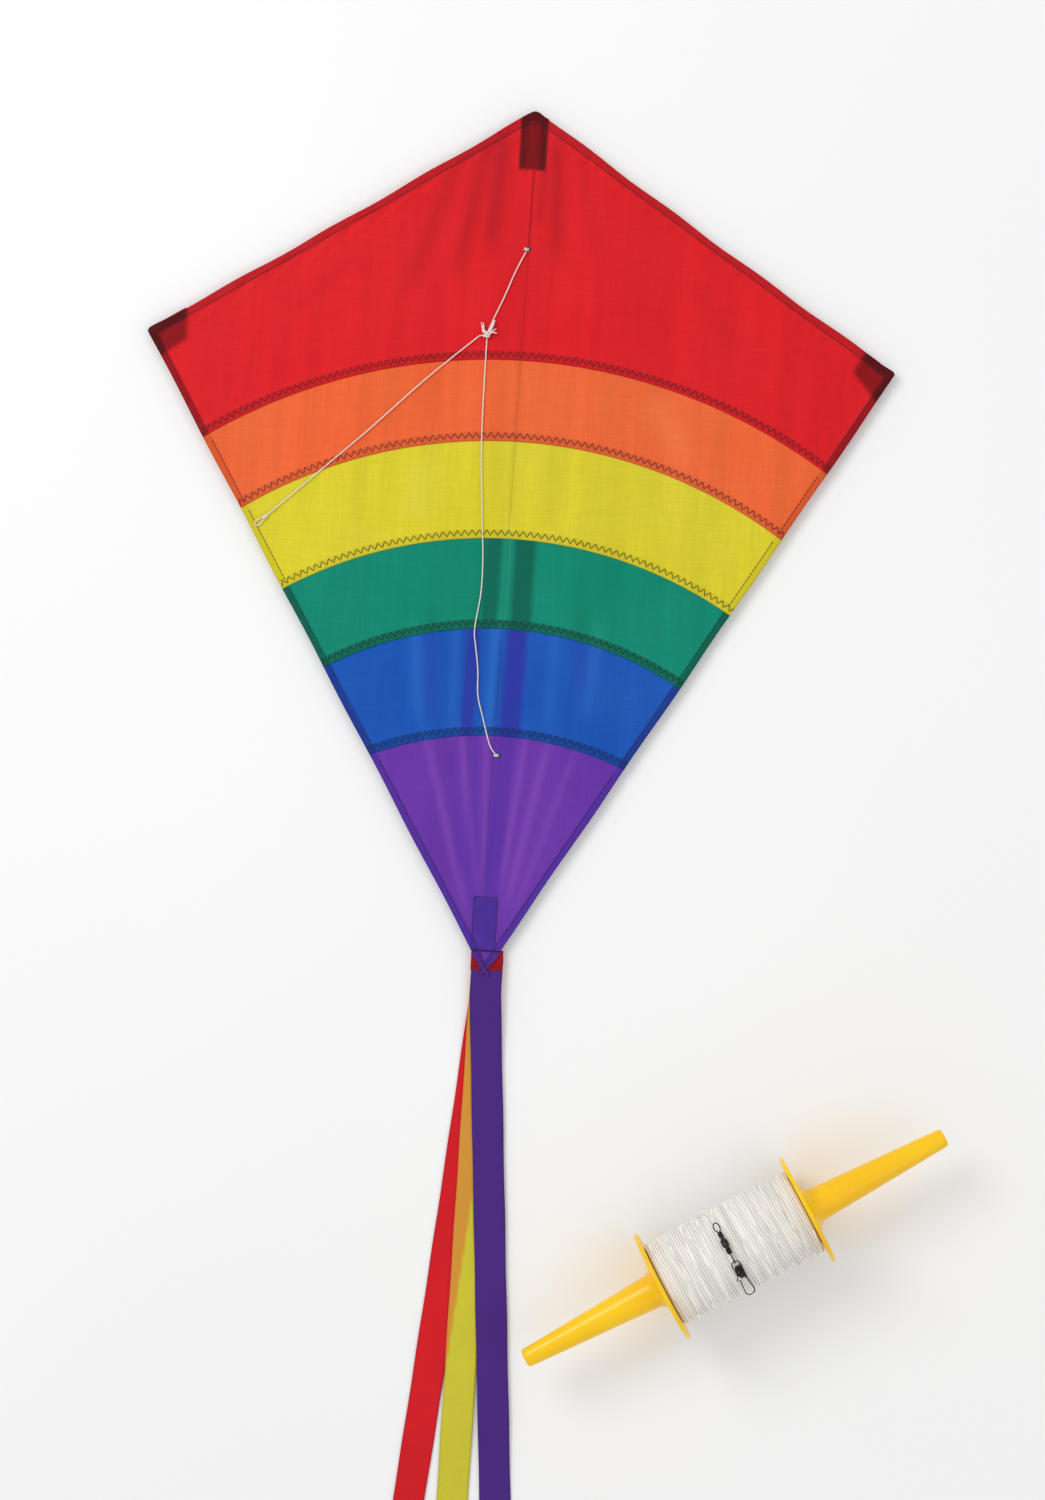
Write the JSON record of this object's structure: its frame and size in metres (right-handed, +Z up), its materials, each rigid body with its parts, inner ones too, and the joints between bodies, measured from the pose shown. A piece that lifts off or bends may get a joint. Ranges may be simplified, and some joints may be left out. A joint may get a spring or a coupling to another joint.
{
  "type": "diamond kite",
  "caption": "Diamond kite with a rainbow sail, crossed rods in corner pockets, line bridle, ribbon tails, and a two-handled winder with line, swivel and snap.",
  "frame": {"origin": "flat underside of the cross connector, on the floor below the crossing of the two rods", "axes": "+Y along the spine to the nose, +X to the right wing, +Z up out of the sail's front face"},
  "size_m": [0.5893, 1.4064, 0.08],
  "materials": {
    "sail_red": "light woven nylon",
    "sail_orange": "light woven nylon",
    "sail_yellow": "light woven nylon",
    "sail_green": "light woven nylon",
    "sail_blue": "light woven nylon",
    "sail_purple": "light woven nylon",
    "rod": "pultruded fibreglass rod",
    "connector": "moulded vinyl",
    "bridle_line": "twisted polyester line",
    "ribbon_red": "thin woven ribbon",
    "ribbon_yellow": "thin woven ribbon",
    "ribbon_purple": "thin woven ribbon",
    "winder": "moulded, glossy",
    "flying_line": "silky twisted polyester line",
    "swivel_metal": "black nickel"
  },
  "bodies": {
    "kite": {"sail_red": "sail_red", "sail_orange": "sail_orange", "sail_yellow": "sail_yellow", "sail_green": "sail_green", "sail_blue": "sail_blue", "sail_purple": "sail_purple", "nose_pocket": "sail_red", "left_wing_pocket": "sail_red", "right_wing_pocket": "sail_red", "tail_pocket": "sail_purple", "spine": "rod", "cross_spar": "rod", "cross_connector": "connector", "nose_end_cap": "connector", "tail_end_cap": "connector", "left_end_cap": "connector", "right_end_cap": "connector", "upper_bridle_tie": "bridle_line", "lower_bridle_tie": "bridle_line", "tail_tab": "ribbon_red"},
    "bridle": {"upper_bridle_leg": "bridle_line", "lower_bridle_leg": "bridle_line", "leader_line": "bridle_line", "leader_loop": "bridle_line", "tow_knot": "bridle_line"},
    "tails": {"tail_red": "ribbon_red", "tail_yellow": "ribbon_yellow", "tail_purple": "ribbon_purple"},
    "winder": {"winder_left_half": "winder", "winder_right_half": "winder", "line_winding": "flying_line", "line_end": "flying_line"},
    "swivel": {"swivel_upper_eye": "swivel_metal", "swivel_barrel": "swivel_metal"},
    "swivel_eye": {"swivel_lower_eye": "swivel_metal"},
    "snap": {"snap_ring": "swivel_metal", "snap_sleeve": "swivel_metal", "snap_leg": "swivel_metal"},
    "gate": {"snap_gate": "swivel_metal"}
  },
  "joints": [
    {"name": "bridle_swing", "type": "hinge", "parent": "kite", "child": "bridle", "pos_m": [0, 0.0711, 0.0091], "axis": [0, 1, 0], "range_deg": [0, 165]},
    {"name": "tails_lift", "type": "hinge", "parent": "kite", "child": "tails", "pos_m": [0, -0.4364, 0.0058], "axis": [-1, 0, 0], "range_deg": [0, 75]},
    {"name": "winder_spin", "type": "hinge", "parent": "kite", "child": "winder", "pos_m": [0.184, -0.612, 0.04], "axis": [0.8545, 0.5195, 0], "continuous": true},
    {"name": "swivel_swing", "type": "hinge", "parent": "winder", "child": "swivel", "pos_m": [0.16739, -0.59238, 0.06737], "axis": [-0.8545, -0.5195, 0], "range_deg": [0, 110]},
    {"name": "eye_turn", "type": "hinge", "parent": "swivel", "child": "swivel_eye", "pos_m": [0.17447, -0.60403, 0.07233], "axis": [-0.4882, 0.8029, -0.342], "continuous": true},
    {"name": "snap_swing", "type": "hinge", "parent": "swivel_eye", "child": "snap", "pos_m": [0.18126, -0.61519, 0.07708], "axis": [-0.8545, -0.5195, 0], "range_deg": [0, 90]},
    {"name": "gate_open", "type": "hinge", "parent": "snap", "child": "gate", "pos_m": [0.19559, -0.63875, 0.06166], "axis": [0.2534, -0.4169, 0.8729], "range_deg": [0, 25], "stiffness_Nm_per_rad": 0.0005}
  ]
}
